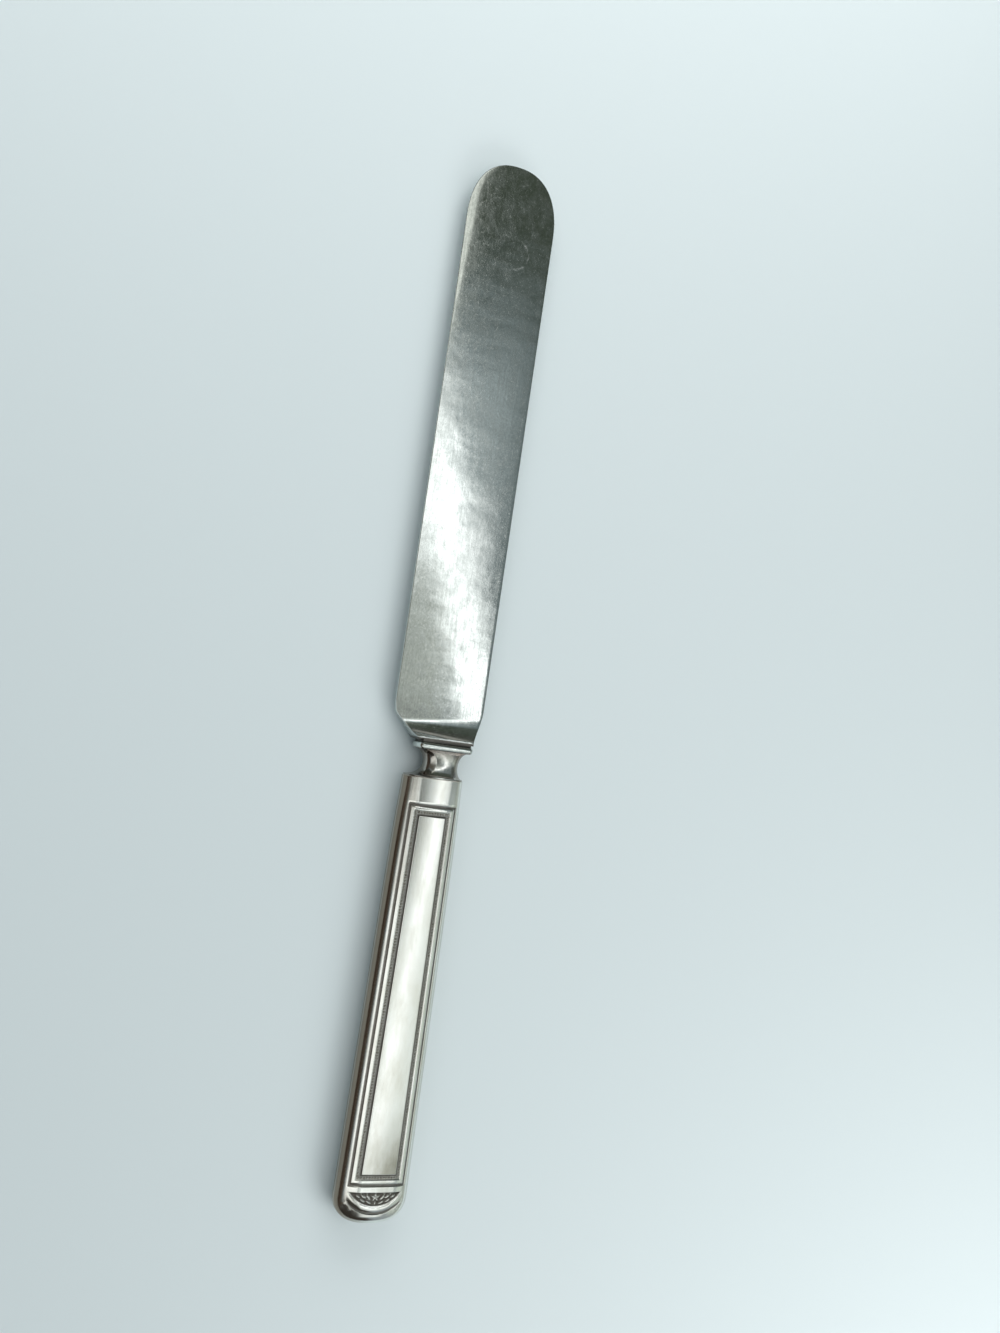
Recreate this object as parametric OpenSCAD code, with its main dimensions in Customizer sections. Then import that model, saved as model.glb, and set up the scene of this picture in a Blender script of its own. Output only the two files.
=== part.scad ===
// Dinner knife with a hollow handle. One forging makes the blade, the bolster and the tang; two stamped
// half shells, soldered along their seam, make the handle, and cement holds the tang inside them.
// Frame: +Y runs to the tip, -X is the cutting edge, +Z leaves the front of the handle. The origin is
// below the middle of the box, on the surface that the back of the handle lies on. Sizes in mm.

/* [Blade] */
// Length of the blade from the heel corner to the tip
blade_len = 129.2; // [110:0.5:150]
// Width of the blade at the heel
heel_w = 21.6; // [18:0.1:24]
// Width of the blade where the round end begins
tip_w = 22.0; // [18:0.1:24]
// Distance from the handle axis to the middle of the blade at the heel, towards the edge
heel_set = 0.95; // [0:0.05:1.5]
// The same distance where the round end begins
tip_set = 1.4; // [0:0.05:2]
// Length of the round end
tip_len = 14.5; // [11:0.5:18]
// Thickness of the spine at the heel
spine_t = 2.4; // [2.3:0.1:3]
// Thinning of the blade from spine to edge
edge_thinning = 1.2; // [0.9:0.1:1.2]
// Thinning of the blade from heel to tip
tip_thinning = 0.75; // [0.5:0.05:0.8]
// Length of the ground bevel back from the tip
grind_len = 46; // [30:1:60]
// Width of the ground bevel where the round end begins
grind_w = 2.6; // [1.5:0.1:3]
// Fall of the ground bevel below the flat of the blade, in degrees
grind_angle = 3.2; // [2:0.1:3.5]

/* [Bolster] */
// Distance from the handle axis to the middle of the bolster, towards the spine
bolster_set = 1.35; // [0:0.05:1.5]
// Length of the waisted neck
neck_len = 6.4; // [5:0.1:8]
// Width of the neck at its waist
neck_w = 8.3; // [7:0.1:9]
// Thickness of the neck at its waist
neck_t = 5.2; // [4.4:0.1:5.8]
// Length of the collar
collar_len = 2.8; // [2.2:0.1:3.4]
// Width of the collar
collar_w = 14; // [12:0.1:14.5]
// Thickness of the collar
collar_t = 6.2; // [5.6:0.1:7]
// Depth of the groove round the collar
collar_groove = 0.4; // [0.2:0.05:0.6]
// Length of the flare from the collar to the heel corner
flare_len = 4.6; // [3.8:0.1:6]
// Distance from the collar to the lowest line of the flare's hollow, on the middle of the blade
flare_reach = 5.3; // [4.6:0.1:6]
// Slant of that line, in degrees
flare_slant = 6; // [0:0.5:8]
// Set-back of the bolster's base from the rim of the handle
base_set_back = 0.25; // [0.1:0.05:0.35]

/* [Tang] */
// Length of the tang inside the handle
tang_len = 62; // [40:1:75]
// Width of the tang at the bolster
tang_w = 6.4; // [5:0.1:7]
// Width of the tang at its end
tang_end_w = 4; // [3:0.1:5]
// Thickness of the tang
tang_t = 3; // [2:0.1:3.6]
// Radius of the notches that key the tang into the cement
notch_r = 0.8; // [0.4:0.1:1]

/* [Handle] */
// Length of the handle
handle_len = 101.5; // [90:0.5:115]
// Width that the straight sides reach at the mouth
mouth_w = 15; // [14.4:0.1:15.6]
// Width that the straight sides reach at the butt
butt_w = 17.5; // [16.8:0.1:18.5]
// Thickness at the mouth
mouth_t = 7.3; // [7:0.1:8.2]
// Thickness at the butt
butt_t = 7.9; // [7.5:0.1:9]
// How far each side draws in at the mouth
pinch = 0.3; // [0.1:0.05:0.5]
// Length over which the sides draw in, past the plug
pinch_len = 17; // [14:0.5:20]
// Width of the flat at the mouth, which narrows to the panel over the same length
mouth_flat_w = 10; // [9:0.1:10.6]
// Length of the rounding of the outline at the butt
butt_round = 6.5; // [5:0.1:8]
// Length of the fall from the face to the butt end
butt_fall = 3; // [2.4:0.1:3.4]
// Thickness of the sheet
wall = 0.7; // [0.55:0.05:0.8]
// Thickness of the solder films
solder = 0.12; // [0.08:0.02:0.2]
// Length of the plug that the bolster pushes into the handle
plug_len = 3; // [2:0.1:5]

/* [Panel] */
// Width of the panel at the mouth end
panel_mouth_w = 6.1; // [5:0.1:6.4]
// Width of the panel at the butt end
panel_butt_w = 7.86; // [6.4:0.02:8.2]
// Distance from the mouth to the panel
panel_from_mouth = 8.7; // [8:0.1:12]
// Distance from the butt to the panel
panel_from_butt = 12; // [11.8:0.05:16]
// Width of the groove next to the panel
groove_w = 0.55; // [0.4:0.05:0.65]
// Width of the bead row
bead_w = 0.68; // [0.5:0.02:0.8]
// Width of the fillet outside the beads
fillet_w = 0.75; // [0.6:0.05:0.9]
// Width of the line outside the fillet
line_w = 0.5; // [0.3:0.05:0.55]
// Depth of the struck relief
relief = 0.3; // [0.2:0.02:0.35]

/* [Lunette] */
// Radius of the half-moon below the panel
lunette_r = 8; // [7.4:0.1:8.4]
// Depth of the half-moon from its straight side to its lowest point
lunette_drop = 3.2; // [2.6:0.1:3.4]
// Distance from the butt to the lowest point of the half-moon
lunette_from_butt = 4.7; // [4.5:0.05:5.2]
// Width of the half-moon with the lines round it
lunette_w = 13.6; // [12.6:0.1:14]
// Width of the rib round the half-moon
rib_w = 0.95; // [0.7:0.05:1.1]

/* [Hidden] */
$fn = 64;
steel = [0.74, 0.75, 0.74];
plate = [0.80, 0.79, 0.75];
solder_grey = [0.62, 0.62, 0.60];
resin = [0.36, 0.25, 0.16];
quarter_steps = 8;
tip_power = 2.35;
side_power = 2.5;
far = 400;

// Places along the knife, with the mouth of the handle at zero
collar_y = solder + neck_len;
flare_y = collar_y + collar_len;
heel_y = flare_y + flare_len;
tip_y = heel_y + blade_len;
round_y = tip_y - tip_len;
face_slope = atan((butt_t - mouth_t) / 2 / handle_len);
frame_w = groove_w + bead_w + fillet_w;
panel_top = -panel_from_mouth;
panel_bottom = panel_from_butt - handle_len;
lunette_y = lunette_from_butt - handle_len + lunette_r;

// Half sizes of the handle at a distance s from the mouth, drawn in by an inset
function run(from, to, s) = from + (to - from) * s / handle_len;
function mouth_share(s) = pow(1 - min(max(s - plug_len, 0), pinch_len) / pinch_len, 2);
function falls(s, from, length, power) =
  s <= from ? 1 : pow(max(1 - pow((s - from) / length, power), 0), 1 / power);
function half_width(s, inset) =
  (run(mouth_w, butt_w, s) / 2 - pinch * mouth_share(s) - inset)
  * falls(s, handle_len - inset - butt_round, butt_round, 2.4);
function half_depth(s, inset) =
  (run(mouth_t, butt_t, s) / 2 - inset) * falls(s, handle_len - inset - butt_fall, butt_fall, 2.2);
function panel_half(s) =
  (panel_mouth_w + (panel_butt_w - panel_mouth_w)
    * (s - panel_from_mouth) / (handle_len - panel_from_butt - panel_from_mouth)) / 2;
function plain_flat(s) = panel_half(s) + 0.25 * groove_w;
function half_flat(s, inset) =
  max((plain_flat(s) + (mouth_flat_w / 2 - plain_flat(s)) * mouth_share(s))
    * falls(s, handle_len - inset - butt_round - 1, butt_round + 1 - 0.9 * butt_fall, 2.2), 0.25);

// Closed ring of points round the Y axis: two flats joined by quarter curves
function quarter(a, c, f, power) =
  [for (i = [0:quarter_steps])
    let (t = 90 * i / quarter_steps)
    [f + (a - f) * pow(cos(t), 2 / power), c * pow(sin(t), 2 / power)]];
function turned_over(list) = [for (i = [len(list) - 1:-1:0]) list[i]];
function closed(y, middle, q) =
  let (top = concat(q, [for (p = turned_over(q)) [-p[0], p[1]]]))
  let (low = [for (p = turned_over(top)) [p[0], -p[1]]])
  [for (p = concat(top, [for (i = [1:len(low) - 2]) low[i]])) [middle + p[0], y, p[1]]];
function ring(y, middle, a, c, f, power) = closed(y, middle, quarter(a, c, min(f, a - 0.05), power));

// Ring of the handle: an oval whose crowns are cut flat
function cut_oval(a, c, f) =
  let (flat_t = acos(pow(f / a, side_power / 2)))
  [for (i = [0:quarter_steps])
    let (t = flat_t * i / quarter_steps)
    [a * pow(cos(t), 2 / side_power), c * pow(sin(t) / sin(flat_t), 2 / side_power)]];
function oval_ring(y, middle, a, c, f) = closed(y, middle, cut_oval(a, c, min(f, a - 0.05)));
function handle_ring(s, y, inset) =
  oval_ring(y, 0, half_width(s, inset), half_depth(s, inset), half_flat(s, inset));

// Skin through rings that have equal numbers of points. The triangles of the lower half mirror the upper's
module loft(rings) {
  n = len(rings[0]);
  last = len(rings) - 1;
  sides = [for (j = [0:last - 1], i = [0:n - 1])
    let (a = j * n + i, b = j * n + (i + 1) % n, c = a + n, d = b + n)
    each i < n / 2 ? [[a, d, b], [a, c, d]] : [[a, c, b], [c, d, b]]];
  ends = [[for (i = [0:n - 1]) i], [for (i = [n - 1:-1:0]) last * n + i]];
  polyhedron(points = [for (r = rings) each r], faces = concat(sides, ends));
}

// Distances from the mouth at which the handle's rings stand
function stations(inset) =
  let (end = handle_len - inset)
  concat([0], [for (i = [0:5]) plug_len + pinch_len * i / 5],
    [for (t = [0:9:81]) end - butt_round - 1 + (butt_round + 1) * sin(t)],
    [end - 0.04, end - 0.02]);

// The handle as a solid, from its mouth to its butt; the cavity and the cement are insets of it
module handle_form(inset, past_mouth = 0) {
  opening = past_mouth > 0 ? [handle_ring(0, past_mouth, inset)] : [];
  loft(concat(opening, [for (s = stations(inset)) handle_ring(s, -s, inset)]));
}

// Outline of the handle at the seam
module seam_outline(inset) {
  side = [for (s = stations(inset)) [half_width(s, inset), -s]];
  polygon(concat(side, [for (p = turned_over(side)) [-p[0], p[1]]]));
}

// Straight plug with the section of the handle's mouth
module mouth_plug(inset, from_y, to_y) {
  loft([handle_ring(0, to_y, inset), handle_ring(0, from_y, inset)]);
}

module slab(from_y, to_y) {
  translate([-far / 2, from_y, -far / 2]) cube([far, to_y - from_y, far]);
}

module lay() {
  edge_x = max(heel_set + heel_w / 2, tip_set + tip_w / 2);
  spine_x = max(heel_w / 2 - heel_set, tip_w / 2 - tip_set);
  translate([(edge_x - spine_x) / 2, (handle_len - tip_y) / 2, mouth_t / 2 * cos(face_slope)])
    rotate([-face_slope, 0, 0])
      children();
}

// Outline of the blade, and the flare that the bolster sends into it
function blade_middle(y) = -heel_set - (tip_set - heel_set) * (y - heel_y) / (round_y - heel_y);
function blade_half(y) = (heel_w + (tip_w - heel_w) * (y - heel_y) / (round_y - heel_y)) / 2;
function round_end(t) =
  [blade_middle(round_y) + blade_half(round_y) * sign(sin(t)) * pow(abs(sin(t)), 2 / tip_power),
   round_y + tip_len * pow(abs(cos(t)), 2 / tip_power)];

module blade_outline() {
  root = collar_w / 2 - 0.6;
  spine_start = heel_y + 3;
  spine_x = blade_middle(spine_start) + blade_half(spine_start);
  spine_step = spine_x - bolster_set - root;
  sweep = [for (t = [0:9:90])
    [bolster_set + root + spine_step * sin(t), flare_y + (spine_start - flare_y) * t / 90]];
  polygon(concat(
    [[bolster_set + root, flare_y - 0.8], [bolster_set - root - 0.4, flare_y - 0.8],
     [blade_middle(heel_y) - blade_half(heel_y) + 0.5, heel_y],
     [blade_middle(heel_y + 2.5) - blade_half(heel_y + 2.5), heel_y + 2.5]],
    [for (t = [-90:7.5:90]) round_end(t)],
    turned_over(sweep)));
}

// Puts the front flat of the blade at zero height. Its thickness falls evenly to the edge and to the tip
module on_flat() {
  to_edge = atan(edge_thinning / 2 / heel_w);
  to_tip = atan(tip_thinning / 2 / (round_y - heel_y));
  translate([blade_middle(heel_y) + blade_half(heel_y), heel_y, spine_t / 2])
    rotate([-to_tip, 0, 0])
      rotate([0, -to_edge, 0])
        children();
}

module above_flat() {
  on_flat() translate([-far / 2, -far / 2, 0]) cube([far, far, 20]);
}

// Half space above the ground bevel that widens along the edge towards the tip
module above_grind() {
  start = tip_y - grind_len;
  swing = atan(grind_w / (round_y - start));
  edge_x = blade_middle(start) - blade_half(start);
  edge_t = spine_t - edge_thinning - tip_thinning * (start - heel_y) / (round_y - heel_y);
  translate([edge_x, start, edge_t / 2])
    rotate([0, 0, -swing])
      rotate([0, -grind_angle - atan(edge_thinning / 2 / heel_w), 0])
        translate([-40, -far / 2, 0])
          cube([40, far, 20]);
}

module both_faces() {
  children();
  mirror([0, 0, 1]) children();
}

module blade_plate() {
  difference() {
    linear_extrude(height = spine_t + 2, center = true) blade_outline();
    both_faces() above_flat();
    both_faces() above_grind();
  }
}

// The bolster's sweep into the blade. Its hollow is a cone, because the flat rises from edge to spine
module flare() {
  function sweep_r(reach, rise) = (reach * reach + rise * rise) / (2 * rise);
  top = collar_t / 2 - 0.1;
  dip = 0.05;
  half_line = heel_w / 2 * tan(flare_slant);
  edge_r = sweep_r(flare_reach - half_line, top - (spine_t - edge_thinning) / 2 + dip);
  spine_r = sweep_r(flare_reach + half_line, top - spine_t / 2 + dip);
  middle_r = (edge_r + spine_r) / 2;
  swell = (spine_r - edge_r) / heel_w;
  span = 1.4 * heel_w;
  difference() {
    linear_extrude(height = 2 * top, center = true) blade_outline();
    both_faces()
      on_flat()
        translate([-heel_w / 2, flare_y + flare_reach - heel_y, -dip])
          rotate([0, 0, flare_slant]) {
            rotate([0, -atan(swell), 0])
              translate([0, 0, middle_r])
                rotate([0, 90, 0])
                  cylinder(r1 = middle_r - swell * span / 2, r2 = middle_r + swell * span / 2, h = span,
                    center = true, $fn = 180);
            translate([-far / 2, 0, -far / 2]) cube([far, far, far]);
          }
  }
}

// Base, waisted neck and ribbed collar, on the plug that enters the handle
module bolster() {
  base = [half_width(0, base_set_back), half_depth(0, base_set_back), half_flat(0, base_set_back)];
  collar = [collar_w / 2, collar_t / 2, collar_w / 2 - 1.3];
  plug = wall + solder;
  waist_y = solder + 0.5 * neck_len;
  base_y = solder + 0.3;
  function waist(u) = 1 - sqrt(1 - u * u);
  plug_rings = [for (y = [-plug_len, solder]) handle_ring(0, y, plug)];
  base_rings = [for (y = [solder, base_y]) handle_ring(0, y, base_set_back)];
  low_cove = [for (t = [75:-15:0])
    let (k = waist(sin(t)))
    oval_ring(waist_y - (waist_y - base_y) * sin(t), bolster_set * (1 - k),
      neck_w / 2 + (base[0] - neck_w / 2) * k, neck_t / 2 + (base[1] - neck_t / 2) * k,
      neck_w / 5 + (base[2] - neck_w / 5) * k)];
  high_cove = [for (t = [15:15:75])
    let (k = waist(sin(t)))
    oval_ring(waist_y + (collar_y - waist_y) * sin(t), bolster_set,
      neck_w / 2 + (collar[0] - 0.5 - neck_w / 2) * k, neck_t / 2 + (collar[1] - 0.5 - neck_t / 2) * k,
      neck_w / 5 + (collar[2] - neck_w / 5) * k)];
  // Share of the collar's length, and how far the ring lies below its full size
  collar_steps = [[0, 0.5], [0.05, 0.2], [0.16, 0.03], [0.3, 0], [0.44, 0.03], [0.55, 0.2],
    [0.6, collar_groove], [0.8, collar_groove], [0.86, 0.1], [1, 0.1]];
  collar_rings = [for (k = collar_steps)
    ring(collar_y + collar_len * k[0], bolster_set, collar[0] - k[1], collar[1] - k[1], collar[2], 2.2)];
  loft(concat(turned_over(concat(plug_rings, base_rings, low_cove, high_cove, collar_rings))));
}

module tang() {
  notches = 3;
  difference() {
    linear_extrude(height = tang_t, center = true)
      polygon([[-tang_w / 2, 1 - plug_len], [tang_w / 2, 1 - plug_len],
        [tang_end_w / 2, -tang_len], [-tang_end_w / 2, -tang_len]]);
    for (i = [1:notches], side = [-1, 1]) {
      y = -plug_len - (tang_len - plug_len) * i / (notches + 1);
      x = tang_w / 2 + (tang_end_w - tang_w) / 2 * (1 - plug_len - y) / (1 - plug_len + tang_len);
      translate([side * x, y, 0]) cylinder(r = notch_r, h = far, center = true);
    }
  }
}

module blade() {
  color(steel) lay() {
    blade_plate();
    flare();
    bolster();
    tang();
  }
}

// Outline of the panel and of the lines that frame it, grown by a margin that is wider at the butt
module frame_outline(margin) {
  high = panel_top + margin;
  low = panel_bottom - 1.17 * margin;
  polygon([[-panel_half(-high) - margin, high], [panel_half(-high) + margin, high],
    [panel_half(-low) + margin, low], [-panel_half(-low) - margin, low]]);
}

module frame_strip(inner, outer) {
  difference() {
    frame_outline(outer);
    frame_outline(inner);
  }
}

module below_chord() {
  chord_y = lunette_y - lunette_r + lunette_drop;
  translate([-lunette_w / 2, chord_y - far]) square([lunette_w, far]);
}

module lunette_strip(inner, outer) {
  intersection() {
    translate([0, lunette_y]) difference() {
      circle(r = lunette_r + outer, $fn = 120);
      circle(r = lunette_r + inner, $fn = 120);
    }
    below_chord();
  }
}

// Lines and fields of one face that the die strikes below the surface. The bead row stays as a plain
// ridge between its groove and a fine line, and the half-moon as a plain field
module struck_outline() {
  frame_strip(0, groove_w);
  frame_strip(groove_w + 0.82 * bead_w, groove_w + bead_w);
  frame_strip(groove_w + bead_w + fillet_w, frame_w + line_w);
  lunette_strip(-lunette_r + 0.01, 0);
  lunette_strip(rib_w, rib_w + line_w);
}

module front_shell() {
  difference() {
    handle_form(0);
    handle_form(wall, 1);
    translate([-far / 2, -far / 2, solder / 2 - far]) cube([far, far, far]);
    difference() {
      translate([0, 0, 0.8]) linear_extrude(height = mouth_t) struck_outline();
      handle_form(relief);
    }
  }
}

module handle_front_shell() {
  color(plate) lay() front_shell();
}

module handle_back_shell() {
  color(plate) lay() mirror([0, 0, 1]) front_shell();
}

module seam_solder() {
  color(solder_grey) lay()
    linear_extrude(height = solder, center = true)
      difference() {
        seam_outline(0);
        seam_outline(wall);
        square([mouth_w - 2 * pinch - 2 * wall, 2], center = true);
      }
}

// Film round the plug and under the base of the bolster
module neck_solder() {
  color(solder_grey) lay() difference() {
    union() {
      handle_form(wall, solder);
      mouth_plug(base_set_back, 0, solder);
    }
    mouth_plug(wall + solder, -plug_len - 1, solder + 1);
    slab(-far, -plug_len);
  }
}

module handle_cement() {
  color(resin) lay() difference() {
    handle_form(wall);
    slab(-plug_len, far);
    tang();
  }
}

blade();
handle_front_shell();
handle_back_shell();
seam_solder();
neck_solder();
handle_cement();
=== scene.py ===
# Looks of a silver-plated dinner knife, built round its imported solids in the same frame, in metres.
# The pieces follow in the order in which the knife is put together; the table and the light come last.

import math

import bmesh
import bpy
import numpy as np
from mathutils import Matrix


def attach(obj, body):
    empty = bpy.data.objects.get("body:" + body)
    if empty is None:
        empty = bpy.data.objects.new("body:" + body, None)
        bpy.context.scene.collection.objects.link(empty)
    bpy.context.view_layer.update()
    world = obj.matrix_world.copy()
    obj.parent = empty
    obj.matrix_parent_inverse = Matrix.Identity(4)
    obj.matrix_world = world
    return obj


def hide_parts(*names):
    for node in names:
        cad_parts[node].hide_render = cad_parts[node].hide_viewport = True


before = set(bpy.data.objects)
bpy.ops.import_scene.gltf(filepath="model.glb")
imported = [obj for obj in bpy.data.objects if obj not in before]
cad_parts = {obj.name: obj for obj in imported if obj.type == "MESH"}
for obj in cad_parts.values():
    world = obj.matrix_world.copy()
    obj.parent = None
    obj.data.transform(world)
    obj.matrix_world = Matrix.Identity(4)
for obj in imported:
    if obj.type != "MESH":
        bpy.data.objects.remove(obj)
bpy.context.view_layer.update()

# Camera
# A hand-held camera looks down on the knife from the left of the bolster.
CAMERA_PLACE = (-0.11038, -0.00194, 0.28174)
CAMERA_TURN = (-2.1585, -24.0459, 9.4118)
CAMERA_LENS = 46.8
CAMERA_SENSOR = 36.0

camera_data = bpy.data.cameras.new("camera")
camera_data.sensor_fit = "HORIZONTAL"
camera_data.sensor_width = CAMERA_SENSOR
camera_data.lens = CAMERA_LENS
camera_data.clip_start = 0.01
camera = bpy.data.objects.new("camera", camera_data)
camera.location = CAMERA_PLACE
camera.rotation_euler = [math.radians(turn) for turn in CAMERA_TURN]
bpy.context.scene.collection.objects.link(camera)
bpy.context.scene.camera = camera

# Blade
# One forging of silver-plated steel: a round-ended blade, a flared and waisted bolster with a ribbed
# collar, and a tang. The flats thin to the edge and the tip, and a bevel is ground on the edge by the tip.
SOLDER = 0.12
NECK_LEN = 6.4
NECK_W = 8.3
NECK_T = 5.2
NECK_FLAT = NECK_W / 5
COLLAR_LEN = 2.8
COLLAR_W = 14.0
COLLAR_T = 6.2
COLLAR_GROOVE = 0.55
COLLAR_POWER = 2.2
COLLAR_CORNER = 1.3
RIB_ROUND = 0.5
RIB_SHARE = 0.56
GROOVE_FROM = 0.58
GROOVE_TO = 0.9
FLARE_LEN = 4.6
BOLSTER_SET = 1.35
BASE_SET_BACK = 0.25
BASE_LEN = 0.3
BASE_EASE = 0.06
BLADE_LEN = 129.2
HEEL_W = 21.6
HEEL_SET = 0.95
TIP_W = 22.0
TIP_SET = 1.4
TIP_LEN = 14.5
TIP_POWER = 2.35
SPINE_T = 2.4
EDGE_THINNING = 1.2
TIP_THINNING = 0.75
FLAT_CROWN = 0.2
CROWN_LEVEL = 0.6
GRIND_LEN = 46.0
GRIND_W = 2.3
GRIND_FALL = 0.05
GRIND_EASE = 1.2
EDGE_HALF = 0.07
EDGE_ROUND = 0.16
FLARE_LINE_Y = 13.85
FLARE_LINE_SLANT = 0.1035
ROOT_LAP = 0.8
ROOT_INSET = 0.6
HEEL_CUT = 0.5
HEEL_CUT_LEN = 2.5
SPINE_CURVE_LEN = 3.0
FINE_ROW = 0.12
LONG_ROW = 1.5
GROUND_ROW = 0.8
GROUND_ROWS_Y = 95
BLADE_SHARP_ANGLE = 38
TANG_LEN = 62.0
TANG_W = 6.4
TANG_END_W = 4.0
TANG_T = 3.0
PLUG_LEN = 3.0
COLLAR_Y = SOLDER + NECK_LEN
FLARE_Y = COLLAR_Y + COLLAR_LEN
HEEL_Y = FLARE_Y + FLARE_LEN
TIP_Y = HEEL_Y + BLADE_LEN
ROUND_Y = TIP_Y - TIP_LEN

# Form of the handle, which the plug and the base of the bolster share
HANDLE_LEN = 101.5
MOUTH_W = 15.0
BUTT_W = 17.5
MOUTH_T = 7.3
BUTT_T = 7.9
PINCH = 0.3
PINCH_LEN = 17.0
MOUTH_FLAT_W = 8.8
BUTT_ROUND = 6.5
BUTT_ROUND_POWER = 2.4
BUTT_FALL = 3.0
BUTT_FALL_POWER = 2.2
BUTT_CLOSE = 0.9998
WALL = 0.7
SIDE_POWER = 2.5
PANEL_MOUTH_W = 6.1
PANEL_BUTT_W = 7.86
PANEL_FROM_MOUTH = 8.7
PANEL_FROM_BUTT = 12.0
PANEL_EDGE = 0.14
PANEL_END = HANDLE_LEN - PANEL_FROM_BUTT
FACE_SLOPE = math.atan((BUTT_T - MOUTH_T) / 2 / HANDLE_LEN)
EDGE_X = max(HEEL_SET + HEEL_W / 2, TIP_SET + TIP_W / 2)
SPINE_X = max(HEEL_W / 2 - HEEL_SET, TIP_W / 2 - TIP_SET)
LAY_SHIFT = ((EDGE_X - SPINE_X) / 2, (HANDLE_LEN - TIP_Y) / 2, MOUTH_T / 2 * math.cos(FACE_SLOPE))


def lay(points):
    """Turns points in mm from the mouth of the handle into the part's frame, in metres."""
    p = np.asarray(points, float)
    c = math.cos(FACE_SLOPE)
    s = math.sin(FACE_SLOPE)
    x = p[:, 0] + LAY_SHIFT[0]
    y = p[:, 1] * c + p[:, 2] * s + LAY_SHIFT[1]
    z = p[:, 2] * c - p[:, 1] * s + LAY_SHIFT[2]
    return np.stack([x, y, z], 1) * 0.001


def new_piece(name, points, faces):
    mesh = bpy.data.meshes.new(name)
    mesh.from_pydata(points.tolist(), [], faces)
    mesh.update()
    piece = bpy.data.objects.new(name, mesh)
    bpy.context.scene.collection.objects.link(piece)
    return piece


def close_up(piece, reach):
    """Merges doubled points, drops empty faces and turns every face outwards."""
    work = bmesh.new()
    work.from_mesh(piece.data)
    bmesh.ops.remove_doubles(work, verts=work.verts, dist=reach)
    bmesh.ops.dissolve_degenerate(work, edges=work.edges, dist=reach)
    bmesh.ops.recalc_face_normals(work, faces=work.faces)
    work.to_mesh(piece.data)
    work.free()


def grid_faces(rows, columns, first=0, turned=False):
    faces = []
    for r in range(rows - 1):
        for c in range(columns - 1):
            a = first + r * columns + c
            face = (a, a + 1, a + columns + 1, a + columns)
            faces.append(face[::-1] if turned else face)
    return faces


def mouth_share(s):
    """How much of the mouth's own form the handle still has at a distance s from its mouth."""
    return (1 - np.clip(s - PLUG_LEN, 0, PINCH_LEN) / PINCH_LEN) ** 2


def falls(s, start, length, power):
    share = np.clip((s - start) / length, 0, 1)
    return np.clip(1 - share ** power, 0, 1) ** (1 / power)


def half_width(s, inset):
    full = (MOUTH_W + (BUTT_W - MOUTH_W) * s / HANDLE_LEN) / 2
    drawn_in = PINCH * mouth_share(s)
    start = HANDLE_LEN - inset - BUTT_ROUND
    return (full - drawn_in - inset) * falls(s, start, BUTT_ROUND, BUTT_ROUND_POWER)


def half_depth(s, inset):
    full = (MOUTH_T + (BUTT_T - MOUTH_T) * s / HANDLE_LEN) / 2
    return (full - inset) * falls(s, HANDLE_LEN - inset - BUTT_FALL, BUTT_FALL, BUTT_FALL_POWER)


def panel_half(s):
    share = (s - PANEL_FROM_MOUTH) / (PANEL_END - PANEL_FROM_MOUTH)
    return (PANEL_MOUTH_W + (PANEL_BUTT_W - PANEL_MOUTH_W) * share) / 2


def plain_flat(s):
    """Half of the flat's width before the butt rounds it off."""
    by_panel = panel_half(s) + PANEL_EDGE
    return by_panel + (MOUTH_FLAT_W / 2 - by_panel) * mouth_share(s)


def half_flat(s, inset):
    start = HANDLE_LEN - inset - BUTT_ROUND - 1
    length = BUTT_ROUND + 1 - 0.9 * BUTT_FALL
    return np.maximum(plain_flat(s) * falls(s, start, length, BUTT_FALL_POWER), 0.25)


def mirrored_ring(y, middle, x, z):
    """Closed ring round the knife from the points of its first quarter."""
    xs = np.concatenate([x, -x[::-1], -x[1:], x[::-1][:-1]])
    zs = np.concatenate([z, z[::-1], -z[1:], -z[::-1][:-1]])
    return np.stack([xs + middle, np.full(len(xs), y), zs], 1)


def collar_ring(y, half_w, half_t, flat, steps=24):
    """Ring of the collar: two flats joined by four rounded corners."""
    turn = np.linspace(0, math.pi / 2, steps + 1)
    x = flat + (half_w - flat) * np.clip(np.cos(turn), 0, 1) ** (2 / COLLAR_POWER)
    z = half_t * np.sin(turn) ** (2 / COLLAR_POWER)
    return mirrored_ring(y, BOLSTER_SET, x, z)


def oval_ring(y, middle, half_w, half_t, flat, steps=24):
    """Ring of the handle and the neck: an oval whose crowns are cut flat."""
    flat = min(flat, half_w - 0.05)
    flat_turn = math.acos((flat / half_w) ** (SIDE_POWER / 2))
    turn = np.linspace(0, flat_turn, steps + 1)
    x = half_w * np.cos(turn) ** (2 / SIDE_POWER)
    z = half_t * (np.sin(turn) / math.sin(flat_turn)) ** (2 / SIDE_POWER)
    return mirrored_ring(y, middle, x, z)


def loft(name, rings):
    count = len(rings[0])
    faces = []
    for r in range(len(rings) - 1):
        for i in range(count):
            k = (i + 1) % count
            faces.append((r * count + i, r * count + k, (r + 1) * count + k, (r + 1) * count + i))
    faces.append(tuple(range(count)))
    faces.append(tuple((len(rings) - 1) * count + i for i in range(count)))
    piece = new_piece(name, lay(np.concatenate(rings)), faces)
    close_up(piece, 1e-7)
    return piece


def blade_middle(y):
    return -HEEL_SET - (TIP_SET - HEEL_SET) * (y - HEEL_Y) / (ROUND_Y - HEEL_Y)


def blade_half(y):
    return (HEEL_W + (TIP_W - HEEL_W) * (y - HEEL_Y) / (ROUND_Y - HEEL_Y)) / 2


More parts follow.
